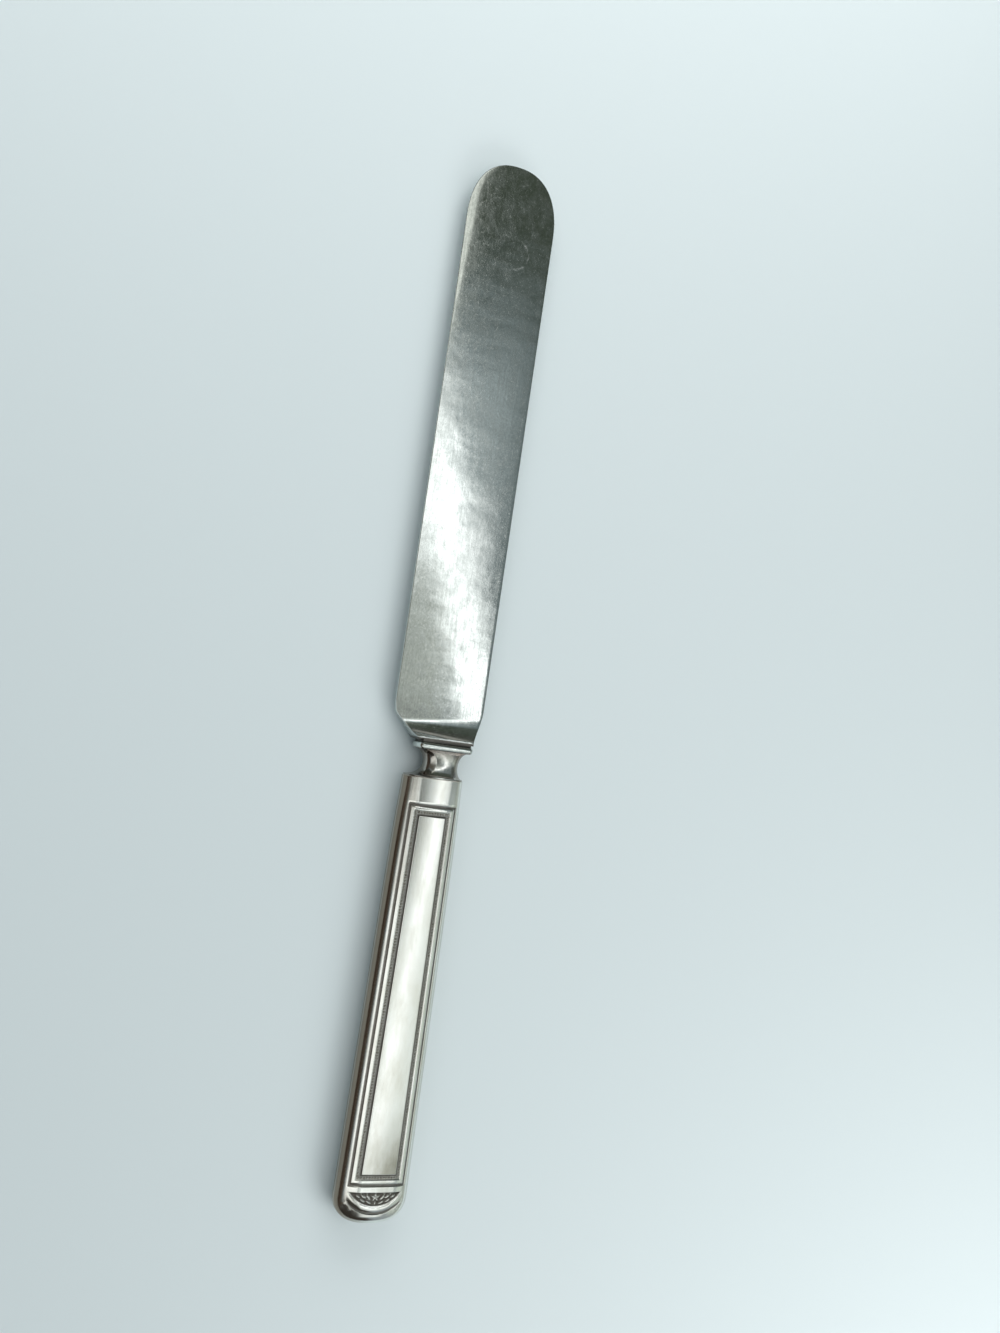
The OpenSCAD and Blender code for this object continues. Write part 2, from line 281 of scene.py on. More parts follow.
def blade_flat(x, y):
    """Height of the front flat above the middle plane, with its slight crown."""
    to_spine = blade_middle(HEEL_Y) + blade_half(HEEL_Y) - x
    plain = SPINE_T / 2 - EDGE_THINNING / 2 * to_spine / HEEL_W
    plain = plain - TIP_THINNING / 2 * (y - HEEL_Y) / (ROUND_Y - HEEL_Y)
    across = (x - blade_middle(y)) / blade_half(y)
    return plain + FLAT_CROWN * (CROWN_LEVEL - across ** 2)


def blade_height(x, y):
    """Height of the front, where the flat sweeps up into the bolster."""
    flat = blade_flat(x, y)
    line = FLARE_LINE_Y + FLARE_LINE_SLANT * x
    reach = line - FLARE_Y
    rise = COLLAR_T / 2 - 0.1 - flat
    sweep = (reach ** 2 + rise ** 2) / (2 * rise)
    climb = np.clip(line - y, 0, reach)
    return flat + sweep - np.sqrt(sweep ** 2 - climb ** 2)


def blade_rows():
    """Pairs of outline points, edge side and spine side, from the collar to the tip."""
    root_y = FLARE_Y - ROOT_LAP
    heel_rows = np.arange(root_y, HEEL_Y + 4, FINE_ROW)
    long_rows = np.arange(HEEL_Y + 4.3, GROUND_ROWS_Y, LONG_ROW)
    ground_rows = np.arange(GROUND_ROWS_Y, ROUND_Y, GROUND_ROW)
    y = np.concatenate([heel_rows, long_rows, ground_rows])
    root = COLLAR_W / 2 - ROOT_INSET
    heel_corner = blade_middle(HEEL_Y) - blade_half(HEEL_Y) + HEEL_CUT
    edge_start = HEEL_Y + HEEL_CUT_LEN
    edge_corner = blade_middle(edge_start) - blade_half(edge_start)
    diagonal = np.interp(y, [root_y, HEEL_Y, edge_start],
                         [BOLSTER_SET - root - ROOT_INSET, heel_corner, edge_corner])
    edge = np.where(y < edge_start, diagonal, blade_middle(y) - blade_half(y))
    soften = np.ones(7) / 7
    softened = np.convolve(edge, soften, mode="same")
    count = len(heel_rows) - 8
    edge[4:count] = softened[4:count]
    spine_end = HEEL_Y + SPINE_CURVE_LEN
    share = np.clip((y - FLARE_Y) / (spine_end - FLARE_Y), 0, 1)
    spine_root = BOLSTER_SET + root
    spine_full = blade_middle(y) + blade_half(y)
    spine = spine_root + (spine_full - spine_root) * np.sin(share * math.pi / 2)
    turn = np.linspace(math.pi / 2, 0, 56)
    round_half = blade_half(ROUND_Y) * np.sin(turn) ** (2 / TIP_POWER)
    round_y = ROUND_Y + TIP_LEN * np.clip(np.cos(turn), 0, 1) ** (2 / TIP_POWER)
    tip_middle = blade_middle(ROUND_Y)
    left = np.concatenate([np.stack([edge, y], 1), np.stack([tip_middle - round_half, round_y], 1)])
    right = np.concatenate([np.stack([spine, y], 1), np.stack([tip_middle + round_half, round_y], 1)])
    grind = np.clip((y - (TIP_Y - GRIND_LEN)) / (ROUND_Y - TIP_Y + GRIND_LEN), 0, 1)
    grind = GRIND_W * np.concatenate([grind, (turn / (math.pi / 2)) ** 0.7])
    return left, right, grind


def inward(path, side):
    along = np.gradient(path, axis=0)
    along = along / np.linalg.norm(along, axis=1, keepdims=True)
    return np.stack([along[:, 1], -along[:, 0]], 1) * side


def blade_plate():
    """Both faces of the blade and the flare, joined round the outline."""
    left, right, grind = blade_rows()
    left_in = inward(left, 1)
    right_in = inward(right, -1)
    round_steps = EDGE_ROUND * np.array([0, 0.12, 0.35, 0.65, 1.0])
    grind_steps = np.linspace(0, 1, 7)[1:]
    body_steps = np.linspace(0, 1, 34)[1:-1]
    columns = []
    depth_in = []
    bevel = np.maximum(grind, 0.5)
    for step in round_steps:
        columns.append(left + left_in * step)
        depth_in.append(np.full(len(left), step))
    for step in grind_steps:
        reach = EDGE_ROUND + (bevel - EDGE_ROUND) * step
        columns.append(left + left_in * reach[:, None])
        depth_in.append(reach)
    inner_left = columns[-1]
    inner_right = right + right_in * EDGE_ROUND
    for step in body_steps:
        columns.append(inner_left + (inner_right - inner_left) * step)
        depth_in.append(np.full(len(left), 99.0))
    right_steps = []
    for step in round_steps[::-1]:
        right_steps.append(len(columns))
        columns.append(right + right_in * step)
        depth_in.append(np.full(len(left), step))
    flat = np.stack(columns, 1)
    depth_in = np.stack(depth_in, 1)
    x = flat[:, :, 0]
    y = flat[:, :, 1]
    z = blade_height(x, y)
    ground = np.clip(grind[:, None] - depth_in, 0, None)
    ground = ground ** 2 / (ground + GRIND_EASE)
    ground[:, right_steps] = 0
    z = np.maximum(z - GRIND_FALL * ground, EDGE_HALF)
    corner = np.minimum(EDGE_ROUND, 0.8 * z)
    short = np.clip(corner - depth_in * corner / EDGE_ROUND, 0, None)
    z = z - corner + np.sqrt(np.clip(corner ** 2 - short ** 2, 0, None))
    rows, across = x.shape
    top = np.stack([x, y, z], 2).reshape(-1, 3)
    low = top * np.array([1, 1, -1])
    faces = grid_faces(rows, across) + grid_faces(rows, across, rows * across, True)
    below = rows * across
    for r in range(rows - 1):
        for c in (0, across - 1):
            a = r * across + c
            faces.append((a, a + across, a + across + below, a + below))
    faces.append(tuple(range(across)) + tuple(below + c for c in range(across - 1, -1, -1)))
    piece = new_piece("blade_plate", lay(np.concatenate([top, low])), faces)
    close_up(piece, 1e-6)
    return piece


def waist(share):
    return 1 - np.sqrt(np.clip(1 - share ** 2, 0, 1))


def neck_ring(y, middle, end, k):
    """Ring of the neck, a share k of the way from its waist to the form that it ends in."""
    thin = (NECK_W / 2, NECK_T / 2, NECK_FLAT)
    half_w, half_t, flat = [w + (e - w) * k for w, e in zip(thin, end)]
    return oval_ring(y, middle, half_w, half_t, flat)


def bolster():
    """Plug, base, waisted neck and ribbed collar, as rings from the handle to the blade."""
    base = [size(0.0, BASE_SET_BACK) for size in (half_width, half_depth, half_flat)]
    collar = [COLLAR_W / 2, COLLAR_T / 2, COLLAR_W / 2 - COLLAR_CORNER]
    under_collar = [collar[0] - RIB_ROUND, collar[1] - RIB_ROUND, collar[2]]
    waist_y = SOLDER + 0.5 * NECK_LEN
    base_y = SOLDER + BASE_LEN
    plug = WALL + SOLDER
    rings = []
    for y, inset in ((-PLUG_LEN, plug), (SOLDER, plug), (SOLDER, BASE_SET_BACK + BASE_EASE),
                     (SOLDER + BASE_EASE, BASE_SET_BACK), (base_y, BASE_SET_BACK)):
        rings.append(oval_ring(y, 0, half_width(0.0, inset), half_depth(0.0, inset), half_flat(0.0, inset)))
    for turn in np.radians(np.arange(80, -1, -4)):
        k = waist(math.sin(turn))
        y = waist_y - (waist_y - base_y) * math.sin(turn)
        rings.append(neck_ring(y, BOLSTER_SET * (1 - k), base, k))
    for turn in np.radians(np.arange(4, 81, 4)):
        y = waist_y + (COLLAR_Y - waist_y) * math.sin(turn)
        rings.append(neck_ring(y, BOLSTER_SET, under_collar, waist(math.sin(turn))))
    profile = []
    for turn in np.linspace(-1, 1, 15):
        profile.append((RIB_SHARE * (turn + 1) / 2, RIB_ROUND * (1 - math.sqrt(1 - 0.98 * turn ** 2))))
    profile += [(GROOVE_FROM, COLLAR_GROOVE - 0.06), (GROOVE_FROM + 0.04, COLLAR_GROOVE)]
    profile += [(GROOVE_TO - 0.08, COLLAR_GROOVE), (GROOVE_TO, 0.25), (0.94, 0.1), (1.0, 0.1)]
    for share, drop in profile:
        y = COLLAR_Y + COLLAR_LEN * share
        rings.append(collar_ring(y, collar[0] - drop, collar[1] - drop, collar[2]))
    return loft("bolster", rings)


def tang():
    rings = []
    for y, width in ((1 - PLUG_LEN, TANG_W), (-TANG_LEN, TANG_END_W)):
        w = width / 2
        t = TANG_T / 2
        rings.append(np.array([[w, y, -t], [w, y, t], [-w, y, t], [-w, y, -t]]))
    return loft("tang", rings)


def weld(piece, others):
    """Joins closed pieces into one closed mesh."""
    for other in others:
        step = piece.modifiers.new("weld", "BOOLEAN")
        step.operation = "UNION"
        step.solver = "EXACT"
        step.object = other
    welded = bpy.data.meshes.new_from_object(piece.evaluated_get(bpy.context.evaluated_depsgraph_get()))
    piece.modifiers.clear()
    piece.data = welded
    for other in others:
        bpy.data.objects.remove(other)
    return piece


BLADE_SILVER = (0.84, 0.89, 0.87)
BLADE_DULL = (0.57, 0.62, 0.6)
BLADE_STREAK = (0.46, 0.5, 0.48)
BLADE_SCRATCH = (0.93, 0.93, 0.9)
NECK_BROWN = (0.6, 0.54, 0.47)
SCRATCH_CENTRE = (0.6, 123.0, 1.0)
SCRATCH_RADIUS = 3.4
NECK_SHADE = (0.2, 0.165, 0.14)
TARNISH = (0.1, 0.09, 0.078)


def add_node(tree, kind, **settings):
    node = tree.nodes.new(kind)
    for name, value in settings.items():
        setattr(node, name, value)
    return node


def stretched_noise(tree, stretch, scale, detail, roughness=0.5):
    """Noise on the object's own coordinates, stretched by the three shares."""
    place = add_node(tree, "ShaderNodeTexCoord")
    mapping = add_node(tree, "ShaderNodeMapping")
    mapping.inputs["Scale"].default_value = stretch
    noise = add_node(tree, "ShaderNodeTexNoise")
    noise.inputs["Scale"].default_value = scale
    noise.inputs["Detail"].default_value = detail
    noise.inputs["Roughness"].default_value = roughness
    tree.links.new(place.outputs["Object"], mapping.inputs["Vector"])
    tree.links.new(mapping.outputs["Vector"], noise.inputs["Vector"])
    return noise.outputs["Fac"]


def shares(tree, value, stops):
    """Turns a value into a share by the stops, which are pairs of place and grey level."""
    ramp = add_node(tree, "ShaderNodeValToRGB")
    points = ramp.color_ramp.elements
    while len(points) < len(stops):
        points.new(0.5)
    for point, (place, level) in zip(points, stops):
        point.position = place
        point.color = (level, level, level, 1.0)
    tree.links.new(value, ramp.inputs["Fac"])
    return ramp.outputs["Color"]


def mixed(tree, share, first, second):
    """Mixes two colours, or two sockets of colour, by a share."""
    mix = add_node(tree, "ShaderNodeMix", data_type="RGBA")
    tree.links.new(share, mix.inputs["Factor"])
    for socket, colour in ((mix.inputs[6], first), (mix.inputs[7], second)):
        if isinstance(colour, tuple):
            socket.default_value = (*colour, 1.0)
        else:
            tree.links.new(colour, socket)
    return mix.outputs[2]


def scaled(tree, value, low, high):
    reach = add_node(tree, "ShaderNodeMapRange")
    reach.inputs["To Min"].default_value = low
    reach.inputs["To Max"].default_value = high
    tree.links.new(value, reach.inputs["Value"])
    return reach.outputs["Result"]


def joined(tree, first, second, operation="ADD"):
    """Adds or multiplies two values."""
    total = add_node(tree, "ShaderNodeMath", operation=operation)
    tree.links.new(first, total.inputs[0])
    tree.links.new(second, total.inputs[1])
    return total.outputs[0]


def place_part(tree, axis):
    """One of the object's own coordinates, in metres."""
    place = add_node(tree, "ShaderNodeTexCoord")
    parts = add_node(tree, "ShaderNodeSeparateXYZ")
    tree.links.new(place.outputs["Object"], parts.inputs["Vector"])
    return parts.outputs[axis]


def way_between(tree, value, low, high):
    """Share of the way of a value in metres from one place to another, in mm."""
    reach = add_node(tree, "ShaderNodeMapRange")
    reach.inputs["From Min"].default_value = low * 0.001
    reach.inputs["From Max"].default_value = high * 0.001
    tree.links.new(value, reach.inputs["Value"])
    return reach.outputs["Result"]


def along_knife(tree, low, high):
    """Share of the way from one place to another along the knife, in mm from the mouth of the handle."""
    return way_between(tree, place_part(tree, "Y"), low + LAY_SHIFT[1], high + LAY_SHIFT[1])


def beside_middle(tree, middle, low, high):
    """Share of the way from one distance to another to both sides of a middle line, in mm."""
    shift = add_node(tree, "ShaderNodeMath", operation="SUBTRACT")
    shift.inputs[1].default_value = (middle + LAY_SHIFT[0]) * 0.001
    away = add_node(tree, "ShaderNodeMath", operation="ABSOLUTE")
    tree.links.new(place_part(tree, "X"), shift.inputs[0])
    tree.links.new(shift.outputs[0], away.inputs[0])
    return way_between(tree, away.outputs[0], low, high)


def weighed(tree, layers):
    """Sum of values, each by its weight."""
    total = None
    for value, weight in layers:
        part = scaled(tree, value, 0.0, weight)
        total = part if total is None else joined(tree, total, part)
    return total


def raised(tree, shader, height):
    """Bumps the surface by a height in tenths of a millimetre."""
    bump = add_node(tree, "ShaderNodeBump")
    bump.inputs["Strength"].default_value = 1.0
    bump.inputs["Distance"].default_value = 0.0001
    tree.links.new(height, bump.inputs["Height"])
    tree.links.new(bump.outputs["Normal"], shader.inputs["Normal"])


def new_metal(name):
    material = bpy.data.materials.new(name)
    material.use_nodes = True
    shader = material.node_tree.nodes["Principled BSDF"]
    shader.inputs["Metallic"].default_value = 1.0
    return material, material.node_tree, shader


def hook_scratch(tree):
    """One curved scratch on the front near the tip, as a share."""
    place = add_node(tree, "ShaderNodeTexCoord")
    away = add_node(tree, "ShaderNodeVectorMath", operation="DISTANCE")
    away.inputs[1].default_value = lay([SCRATCH_CENTRE])[0]
    tree.links.new(place.outputs["Object"], away.inputs[0])
    reach = way_between(tree, away.outputs["Value"], 0, 10)
    ring = SCRATCH_RADIUS / 10
    arc = shares(tree, reach, ((ring - 0.04, 0.0), (ring, 1.0), (ring + 0.04, 0.0)))
    middle_x = SCRATCH_CENTRE[0] + LAY_SHIFT[0]
    side = way_between(tree, place_part(tree, "X"), middle_x - 0.5, middle_x + 1.0)
    return joined(tree, arc, side, "MULTIPLY")


def plated_blade():
    """Satin plate with lengthwise polishing lines, blotches, fine grain, scratches and dark hollows."""
    material, tree, shader = new_metal("plated blade steel")
    lines = stretched_noise(tree, (1.0, 0.05, 1.0), 3200, 2)
    waves = stretched_noise(tree, (0.3, 1.0, 0.3), 130, 2, 0.45)
    dents = stretched_noise(tree, (1.0, 0.8, 1.0), 350, 1)
    blotches = stretched_noise(tree, (1.0, 0.75, 1.0), 430, 7, 0.76)
    bands = stretched_noise(tree, (0.12, 1.0, 0.12), 260, 3, 0.6)
    specks = stretched_noise(tree, (1.0, 0.7, 1.0), 2400, 1)
    curls = stretched_noise(tree, (1.0, 0.8, 1.0), 280, 2)
    rubbed = stretched_noise(tree, (1.0, 0.8, 1.0), 75, 2)
    dull = shares(tree, blotches, ((0.32, 0.0), (0.72, 1.0)))
    streak = shares(tree, lines, ((0.4, 0.0), (0.66, 1.0)))
    curl = shares(tree, curls, ((0.47, 0.0), (0.5, 1.0), (0.53, 0.0)))
    curl = joined(tree, curl, shares(tree, rubbed, ((0.52, 0.0), (0.62, 1.0))), "MULTIPLY")
    curl = joined(tree, curl, along_knife(tree, HEEL_Y, HEEL_Y + 4), "MULTIPLY")
    hook = joined(tree, hook_scratch(tree), shares(tree, blotches, ((0.43, 0.0), (0.58, 1.0))), "MULTIPLY")
    clouds = shares(tree, rubbed, ((0.38, 0.0), (0.66, 1.0)))
    speck = shares(tree, specks, ((0.6, 0.0), (0.72, 1.0)))
    grain = shares(tree, specks, ((0.3, 1.0), (0.5, 0.0)))
    # Painted shade on the neck just under the collar.
    under = along_knife(tree, COLLAR_Y - 2.6, COLLAR_Y + 0.3)
    under = shares(tree, under, ((0.0, 0.0), (0.85, 1.0), (1.0, 0.0)))
    banded = shares(tree, bands, ((0.45, 0.0), (0.75, 1.0)))
    forged = shares(tree, along_knife(tree, 0, HEEL_Y), ((0.0, 1.0), (0.9, 1.0), (1.0, 0.0)))
    neck = shares(tree, along_knife(tree, 0, COLLAR_Y + 0.4), ((0.0, 1.0), (0.95, 1.0), (1.0, 0.0)))
    # Painted shade on both flanks of the neck.
    neck_flank_shade = joined(tree, neck, beside_middle(tree, BOLSTER_SET, 1.8, 3.6), "MULTIPLY")
    groove_from = COLLAR_Y + COLLAR_LEN * GROOVE_FROM - 0.1
    groove_to = COLLAR_Y + COLLAR_LEN * GROOVE_TO + 0.1
    groove = along_knife(tree, groove_from, groove_to)
    groove = shares(tree, groove, ((0.0, 0.0), (0.15, 1.0), (0.85, 1.0), (1.0, 0.0)))
    colour = mixed(tree, dull, BLADE_SILVER, BLADE_DULL)
    layers = ((streak, 0.36, BLADE_STREAK), (banded, 0.3, BLADE_DULL), (clouds, 0.3, BLADE_STREAK),
              (speck, 0.14, BLADE_SCRATCH), (grain, 0.4, BLADE_STREAK), (neck, 0.25, NECK_BROWN),
              (under, 0.75, NECK_SHADE), (neck_flank_shade, 0.65, NECK_SHADE), (curl, 0.05, BLADE_SCRATCH),
              (hook, 0.6, BLADE_SCRATCH), (groove, 0.9, TARNISH))
    for share, amount, layer_colour in layers:
        colour = mixed(tree, scaled(tree, share, 0.0, amount), colour, layer_colour)
    tree.links.new(colour, shader.inputs["Base Color"])
    rough = weighed(tree, ((blotches, 0.22), (streak, 0.04), (curl, 0.04), (speck, 0.06), (groove, 0.2),
                           (forged, 0.02)))
    tree.links.new(rough, shader.inputs["Roughness"])
    haze = shares(tree, blotches, ((0.42, 0.0), (0.72, 1.0)))
    worn_through = weighed(tree, ((haze, 0.07), (hook, 0.22)))
    tree.links.new(scaled(tree, worn_through, 1.0, 0.0), shader.inputs["Metallic"])
    raised(tree, shader, weighed(tree, ((waves, 0.8), (dents, 0.17), (lines, 0.009), (specks, 0.025))))
    return material


blade = weld(blade_plate(), [bolster(), tang()])
blade.name = "plated_blade"
blade.data.materials.clear()
blade.data.materials.append(plated_blade())
blade.data.shade_smooth()
blade.data.set_sharp_from_angle(angle=math.radians(BLADE_SHARP_ANGLE))
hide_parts("blade")
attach(blade, "root")

# Handle shells
# Two stampings of thin sheet, silver-plated. Each face carries a long plain panel in a groove, a row of
# beads, a rounded fillet and a fine line, and below it a half-moon with a sprig of leaves in relief.
GROOVE_W = 0.58
BEAD_W = 0.68
FILLET_W = 1.0
LINE_W = 0.62
LINE_DEPTH = 0.22
RELIEF = 0.3
BEAD_SINK = 0.23
GROOVE_STAIN = 0.85
BEAD_STAIN = 0.72
PANEL_CROWN = 0.1
MOUTH_CROWN = 0.2
LUNETTE_R = 8.0
LUNETTE_DROP = 3.2
LUNETTE_FROM_BUTT = 4.7
LUNETTE_HALF_W = 6.8
LUNETTE_EDGE = 0.25
LUNETTE_STAIN = 0.92
SPRIG_HEIGHT = 0.26
RIB_W = 1.25
RIB_FALL = 0.15
RIB_LINE_DEPTH = 0.24
STUD_PLACES = ((7.05, -96.35), (5.6, -97.45))
STUD_SIZE = 0.34
STUD_HEIGHT = 0.2
DUSK_FROM = 74
DUSK_LEN = 13
DUSK_MIDDLE = 0.36
DUSK_LEAN = 0.28
CORNER_EASE = 0.35
MOUTH_CORNER_EASE = 1.0
FACE_SHARE = 0.86
# Painted shade on the handle's lower flanks by the seam, weaker on the spine side, and deeper on the edge
# side's flank towards the butt.
BUTT_SHADE_FROM = 93
BUTT_SHADE_LEN = 7
BUTT_SHADE_LEVEL = 0.95
SEAM_SHADE_PLACES = (0, 0.06, 0.16, 0.54, 0.68)
SEAM_SHADE_LEVELS = (0.4, 0.7, 1, 1, 0)
SPINE_SEAM_SHADE_SHARE = 0.4
PANEL_LIP = 0.1
FINE_ROWS_OUT = 2.75
FINE_ROWS_BELOW = 3.1
FINE_ROWS_IN = 0.3
LONG_ROWS_FROM = 21
SHELL_SHARP_ANGLE = 65
LUNETTE_Y = LUNETTE_FROM_BUTT - HANDLE_LEN + LUNETTE_R
CHORD_Y = LUNETTE_Y - LUNETTE_R + LUNETTE_DROP
FRAME_W = GROOVE_W + BEAD_W + FILLET_W
LINE_EDGE = 0.12
FRAME_REACH = FRAME_W + LINE_W + LINE_EDGE
HALF_SOLDER = SOLDER / 2


def frame_depth(m):
    """How deep the face is struck at a distance outside the edge of the panel."""
    fillet_start = GROOVE_W + BEAD_W
    line_end = FRAME_W + LINE_W
    places = [0.05, 0.15, 0.27, 0.42, GROOVE_W - 0.04, fillet_start - 0.02, fillet_start + 0.12,
              fillet_start + 0.3, FRAME_W - 0.3, FRAME_W - 0.08, FRAME_W + 0.12, FRAME_W + 0.42,
              line_end, line_end + 0.1]
    depths = [0.0, 0.04, RELIEF, RELIEF, BEAD_SINK, BEAD_SINK, 0.05, 0.0, 0.0, 0.05, LINE_DEPTH, LINE_DEPTH,
              0.05, 0.0]
    return np.interp(m, places, depths, left=0.0, right=0.0)


def frame_stain(m):
    """How much tarnish has stayed in the groove, between the beads and in the fine line."""
    fillet_start = GROOVE_W + BEAD_W
    places = [0.04, 0.14, 0.5, 0.6, fillet_start - 0.05, fillet_start + 0.05, FRAME_W - 0.05, FRAME_W + 0.08,
              FRAME_W + 0.46, FRAME_W + LINE_W]
    levels = [0.0, GROOVE_STAIN, GROOVE_STAIN, BEAD_STAIN, BEAD_STAIN, 0.0, 0.0, GROOVE_STAIN, GROOVE_STAIN,
              0.0]
    return np.interp(m, places, levels, left=0.0, right=0.0)


def leaf(x, y, place, length, width, turn):
    """A small rounded leaf of the sprig, one high in its middle."""
    c = math.cos(math.radians(turn))
    s = math.sin(math.radians(turn))
    along = (x - place[0]) * c + (y - place[1]) * s
    across = (y - place[1]) * c - (x - place[0]) * s
    return np.sqrt(np.clip(1 - (along / length) ** 2 - (across / width) ** 2, 0, 1))


def sprig(x, y):
    """A small flower with a spray of leaves to each corner of the half-moon."""
    x = np.abs(x)
    leaves = [((0.0, CHORD_Y - 0.66), 0.42, 0.27, 90), ((0.56, CHORD_Y - 0.95), 0.42, 0.25, 25),
              ((0.4, CHORD_Y - 1.6), 0.42, 0.24, -55), ((1.65, CHORD_Y - 1.2), 0.75, 0.3, 50),
              ((2.75, CHORD_Y - 1.0), 0.7, 0.28, 30), ((1.5, CHORD_Y - 2.25), 0.72, 0.25, 28),
              ((3.0, CHORD_Y - 1.85), 0.7, 0.24, 30), ((4.15, CHORD_Y - 0.95), 0.62, 0.24, 28),
              ((0.0, CHORD_Y - 2.45), 0.5, 0.17, 90)]
    berries = [((0.0, CHORD_Y - 1.25), 0.26), ((2.05, CHORD_Y - 0.42), 0.2), ((3.5, CHORD_Y - 0.42), 0.2)]
    height = np.zeros_like(x)
    for place, length, width, turn in leaves:
        height = np.maximum(height, leaf(x, y, place, length, width, turn))
    for place, size in berries:
        height = np.maximum(height, leaf(x, y, place, size, size, 0))
    return height


def lunette(x, y):
    """Depth and tarnish of the half-moon, the bow of its half-round rib and the line round it."""
    out = np.hypot(x, y - LUNETTE_Y) - LUNETTE_R
    below = CHORD_Y - y
    beside = LUNETTE_HALF_W - np.abs(x)
    relief = sprig(x, y)
    field = np.clip(np.minimum(np.minimum(-out, below), beside) / LUNETTE_EDGE, 0, 1)
    under = np.clip(below / 0.4, 0, 1) * np.clip(beside / 0.8, 0, 1)
    across = np.clip(out / RIB_W, 0, 1) * 2 - 1
    rib = np.where((out > -LUNETTE_EDGE) & (out < RIB_W), RIB_FALL * across ** 2, 0)
    line_places = [RIB_W - 0.1, RIB_W + 0.12, RIB_W + 0.4, RIB_W + 0.65]
    line = np.interp(out, line_places, [0, 1, 1, 0], 0, 0)
    struck = field * (RELIEF - SPRIG_HEIGHT * relief)
    depth = np.maximum(struck, np.maximum(RIB_LINE_DEPTH * line, rib) * under)
    field_stain = field * LUNETTE_STAIN * (1 - np.clip(1.6 * relief, 0, 1))
    stain = np.maximum(field_stain, GROOVE_STAIN * line * under)
    return depth, stain


def corner_studs(x, y):
    """Small studs on each corner of the butt."""
    x = np.abs(x)
    height = np.zeros_like(x)
    for place in STUD_PLACES:
        height = np.maximum(height, leaf(x, y, place, STUD_SIZE, STUD_SIZE, 0))
    return STUD_HEIGHT * height


def face_relief(x, s):
    """Struck depth and tarnish at a point of the face, at a distance s from the mouth."""
    top = PANEL_FROM_MOUTH - s
    bottom = s - PANEL_END
    m = np.maximum(np.maximum(np.abs(x) - panel_half(s), top), bottom)
    depth, stain = lunette(x, -s)
    return np.maximum(frame_depth(m), depth) - corner_studs(x, -s), np.maximum(frame_stain(m), stain)


def panel_dusk(x, s):
    """Darkening in patches of the end of the panel by the butt, more on the spine side."""
    inside = (np.abs(x) < panel_half(s)) & (s < PANEL_END)
    across = np.clip(DUSK_MIDDLE + DUSK_LEAN * x / panel_half(s), 0, 1)
    return np.clip((s - DUSK_FROM) / DUSK_LEN, 0, 1) * across * inside


def crown_drop(x, s):
    """How far the crowned face falls away from its middle line."""
    crown = PANEL_CROWN + (MOUTH_CROWN - PANEL_CROWN) * mouth_share(s)
    return crown * np.clip(np.abs(x) / plain_flat(s), 0, 1) ** 2


def oval_height(x, s, inset):
    """Height of the handle's surface over a place across it, with the corner of the flat eased."""
    a = half_width(s, inset)
    c = half_depth(s, inset)
    f = min(half_flat(s, inset), a - 0.05 * (a > 0.1))
    total = np.zeros_like(x)
    ease = np.clip((a - x) / 1.5, 0, 1)
    reach = CORNER_EASE + (MOUTH_CORNER_EASE - CORNER_EASE) * mouth_share(s)
    offsets = np.linspace(-1, 1, 13) * reach
    for offset in offsets:
        place = np.clip(x + offset * ease, f, a)
        share = (1 - (place / a) ** SIDE_POWER) / (1 - (f / a) ** SIDE_POWER)
        total = total + c * np.clip(share, 0, 1) ** (1 / SIDE_POWER)
    return total / len(offsets)


def shell_rows():
    """Distances of the rows from the mouth, close together where the face is struck across."""
    panel_start = PANEL_FROM_MOUTH - FINE_ROWS_OUT
    inside_start = PANEL_FROM_MOUTH + FINE_ROWS_IN
    inside_end = PANEL_END - FINE_ROWS_IN
    turn = np.linspace(0, math.pi / 2, 44)[1:]
    last = HANDLE_LEN - BUTT_FALL
    return np.concatenate([
        np.linspace(0, panel_start, 19)[:-1],
        np.linspace(panel_start, inside_start, 38)[:-1],
        np.linspace(inside_start, LONG_ROWS_FROM, 20)[:-1],
        np.linspace(LONG_ROWS_FROM, inside_end, 40)[:-1],
        np.linspace(inside_end, PANEL_END + FINE_ROWS_BELOW, 40)[:-1],
        np.linspace(PANEL_END + FINE_ROWS_BELOW, last, 84),
        last + BUTT_FALL * np.sin(turn) * BUTT_CLOSE])


